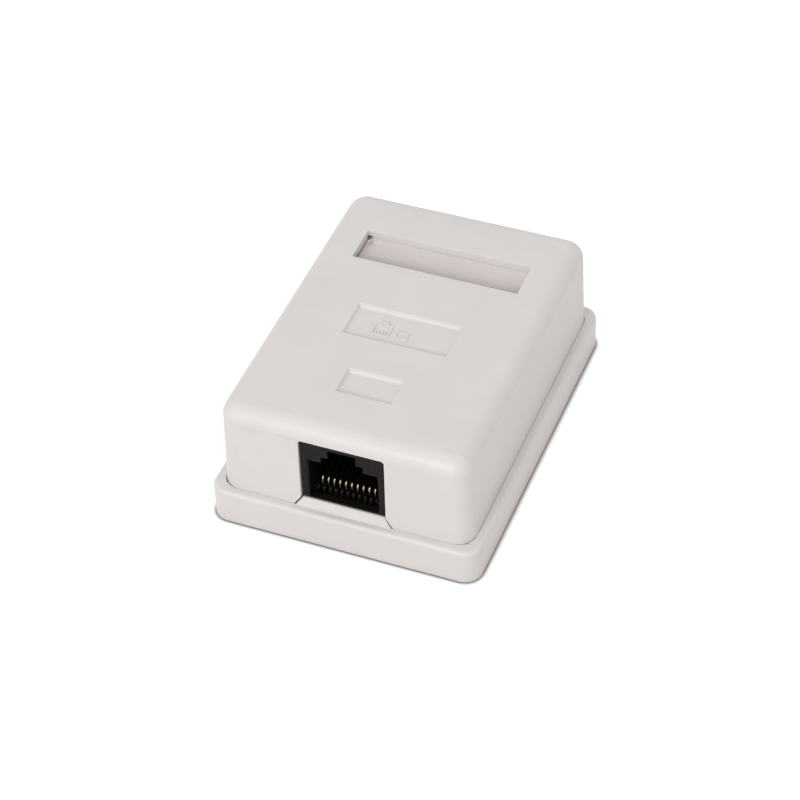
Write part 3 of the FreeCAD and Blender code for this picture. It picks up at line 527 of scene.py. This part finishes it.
def makeSign():
    bm = bmesh.new()
    top, low = sign["floor"] + sign["high"], sign["floor"] - sign["sunk"]
    addRib(bm, sign["port"], low, top)
    addRib(bm, sign["plug"], low, top)
    x0, y0, x1, y1 = sign["lead"]
    addBar(bm, x0, y0, x1, y1, low, top)
    for x in sign["pins"]:
        half = sign["pinWide"] / 2
        addBar(bm, x - half, sign["pinFoot"], x + half, sign["pinTip"], low,
               top - sign["pinLower"])
    upper = [edge for edge in bm.edges
             if all(v.co.z > (top - sign["topBand"]) * mm for v in edge.verts)]
    bmesh.ops.bevel(bm, geom=upper, offset=sign["round"] * mm, affect="EDGES",
                    segments=sign["segments"], profile=0.5, material=-1, clamp_overlap=True)
    makePiece(bm, "raisedSign", whiteAbs, "cover", sign["smoothAngle"])


makeSign()
print("sign made")


# the CAD forms that stay as they are get their materials

carriedOver = {"contact_carrier": blackPbt, "label_window": clearStyrene, "label_card": labelCard,
               "circuit_board": greenBoard, "idc_blade_": tinPlate}  # the last is all ten blades

for nodeName, node in nodes.items():
    for start, material in carriedOver.items():
        if nodeName.startswith(start):
            node.material_slots[0].material = material
print("inner pieces finished")


# stage: pale floor, white surroundings, one soft lamp, camera

stage = {"floorSize": 3.0,  # m
         "floorColour": "#d1c8c5",  # what lights the object from below
         "floorSeen": 1.4, "glow": 0.1,  # what the camera sees, where 1 is white
         # contact and the keys after it set a painted contact shadow: the floor's seen colour
         # darkens with ambient occlusion within this distance of the base
         "contact": 1.0, "contactFrom": 0.5, "paintedShadowDark": 0.07, "contactSamples": 16,
         "sky": "#ffffff", "skyStrength": 0.75, "backdrop": "#ffffff", "backdropStrength": 1.0}

keyLamp = {"from": (-0.07, -0.975, 0.62), "size": 0.45,  # m
           "aimHeight": 10,  # mm
           "watts": 4.9, "colour": "#fafcff"}

shot = {"azimuth": 22.855, "elevation": 43.144, "roll": -2.318,  # degrees
        "distance": 439.5, "target": (-4.07, 4.837, 0.0), "lens": 113.77, "sensor": 36.0,  # mm
        "clipStart": 0.01}  # m


def seenDirectly(tree):
    # 1 where the camera sees the surface itself, in a mirror or through glass
    path = addNode(tree, "ShaderNodeLightPath")
    either = addNode(tree, "ShaderNodeMath",
                     {0: path.outputs["Is Camera Ray"], 1: path.outputs["Is Glossy Ray"]},
                     operation="MAXIMUM")
    anyOfThree = addNode(tree, "ShaderNodeMath",
                         {0: either.outputs[0], 1: path.outputs["Is Transmission Ray"]},
                         operation="MAXIMUM")
    return anyOfThree.outputs[0]


def makeFloor():
    bm = bmesh.new()
    bmesh.ops.create_grid(bm, x_segments=1, y_segments=1, size=stage["floorSize"] / 2)
    mesh = bpy.data.meshes.new("floor")
    bm.to_mesh(mesh)
    bm.free()
    floor = bpy.data.objects.new("floor", mesh)
    bpy.context.scene.collection.objects.link(floor)
    material, tree = newMaterial("white paper sweep")
    paper = addNode(tree, "ShaderNodeBsdfDiffuse", {"Color": toLinear(stage["floorColour"])})
    # painted contact shadow: the floor's seen colour darkens with ambient occlusion, a thin dark
    # line where the base meets the paper
    closed = addNode(tree, "ShaderNodeAmbientOcclusion", {"Distance": stage["contact"] * mm},
                     samples=stage["contactSamples"])
    line = addNode(tree, "ShaderNodeMapRange",
                   {"Value": closed.outputs["AO"], "From Min": stage["contactFrom"],
                    "From Max": 1.0, "To Min": stage["paintedShadowDark"], "To Max": stage["floorSeen"]})
    shade = addNode(tree, "ShaderNodeBsdfDiffuse", {"Color": line.outputs["Result"]})
    glow = addNode(tree, "ShaderNodeEmission", {"Strength": stage["glow"]})
    bright = addNode(tree, "ShaderNodeAddShader", {0: shade.outputs[0], 1: glow.outputs[0]})
    shader = addNode(tree, "ShaderNodeMixShader",
                     {0: seenDirectly(tree), 1: paper.outputs[0], 2: bright.outputs[0]})
    addNode(tree, "ShaderNodeOutputMaterial", {"Surface": shader.outputs[0]})
    mesh.materials.append(material)


def makeSurroundings():
    world = bpy.data.worlds.new("studio")
    bpy.context.scene.world = world
    world.use_nodes = True
    tree = world.node_tree
    tree.nodes.clear()
    soft = addNode(tree, "ShaderNodeBackground",
                   {"Color": toLinear(stage["sky"]), "Strength": stage["skyStrength"]})
    white = addNode(tree, "ShaderNodeBackground",
                    {"Color": toLinear(stage["backdrop"]), "Strength": stage["backdropStrength"]})
    both = addNode(tree, "ShaderNodeMixShader",
                   {0: seenDirectly(tree), 1: soft.outputs[0], 2: white.outputs[0]})
    addNode(tree, "ShaderNodeOutputWorld", {"Surface": both.outputs[0]})


def hangLamp():
    lamp = bpy.data.lights.new("keyLamp", "AREA")
    lamp.shape = "DISK"
    lamp.size = keyLamp["size"]
    lamp.energy = keyLamp["watts"]
    lamp.color = toLinear(keyLamp["colour"])[:3]
    holder = bpy.data.objects.new("keyLamp", lamp)
    bpy.context.scene.collection.objects.link(holder)
    holder.location = Vector(keyLamp["from"])
    toObject = Vector((0, 0, keyLamp["aimHeight"] * mm)) - holder.location
    holder.rotation_euler = toObject.to_track_quat("-Z", "Y").to_euler()
    holder.visible_transmission = False  # the label pane already lets the lamp through


def setCamera():
    azimuth, elevation, roll = (math.radians(shot[k]) for k in ("azimuth", "elevation", "roll"))
    back = Vector((math.sin(azimuth) * math.cos(elevation),
                   -math.cos(azimuth) * math.cos(elevation), math.sin(elevation)))
    right = Vector((math.cos(azimuth), math.sin(azimuth), 0))
    up = back.cross(right)
    rolledRight = right * math.cos(roll) + up * math.sin(roll)
    rolledUp = up * math.cos(roll) - right * math.sin(roll)
    lens = bpy.data.cameras.new("camera")
    lens.lens = shot["lens"]
    lens.sensor_width = shot["sensor"]
    lens.clip_start = shot["clipStart"]
    camera = bpy.data.objects.new("camera", lens)
    bpy.context.scene.collection.objects.link(camera)
    turn = Matrix((rolledRight, rolledUp, back)).transposed().to_4x4()
    spot = Vector(shot["target"]) * mm + back * shot["distance"] * mm
    camera.matrix_world = Matrix.Translation(spot) @ turn
    bpy.context.scene.camera = camera


makeFloor()
makeSurroundings()
hangLamp()
setCamera()
bpy.context.scene.view_settings.view_transform = "Standard"
print("stage, lamp and camera set")
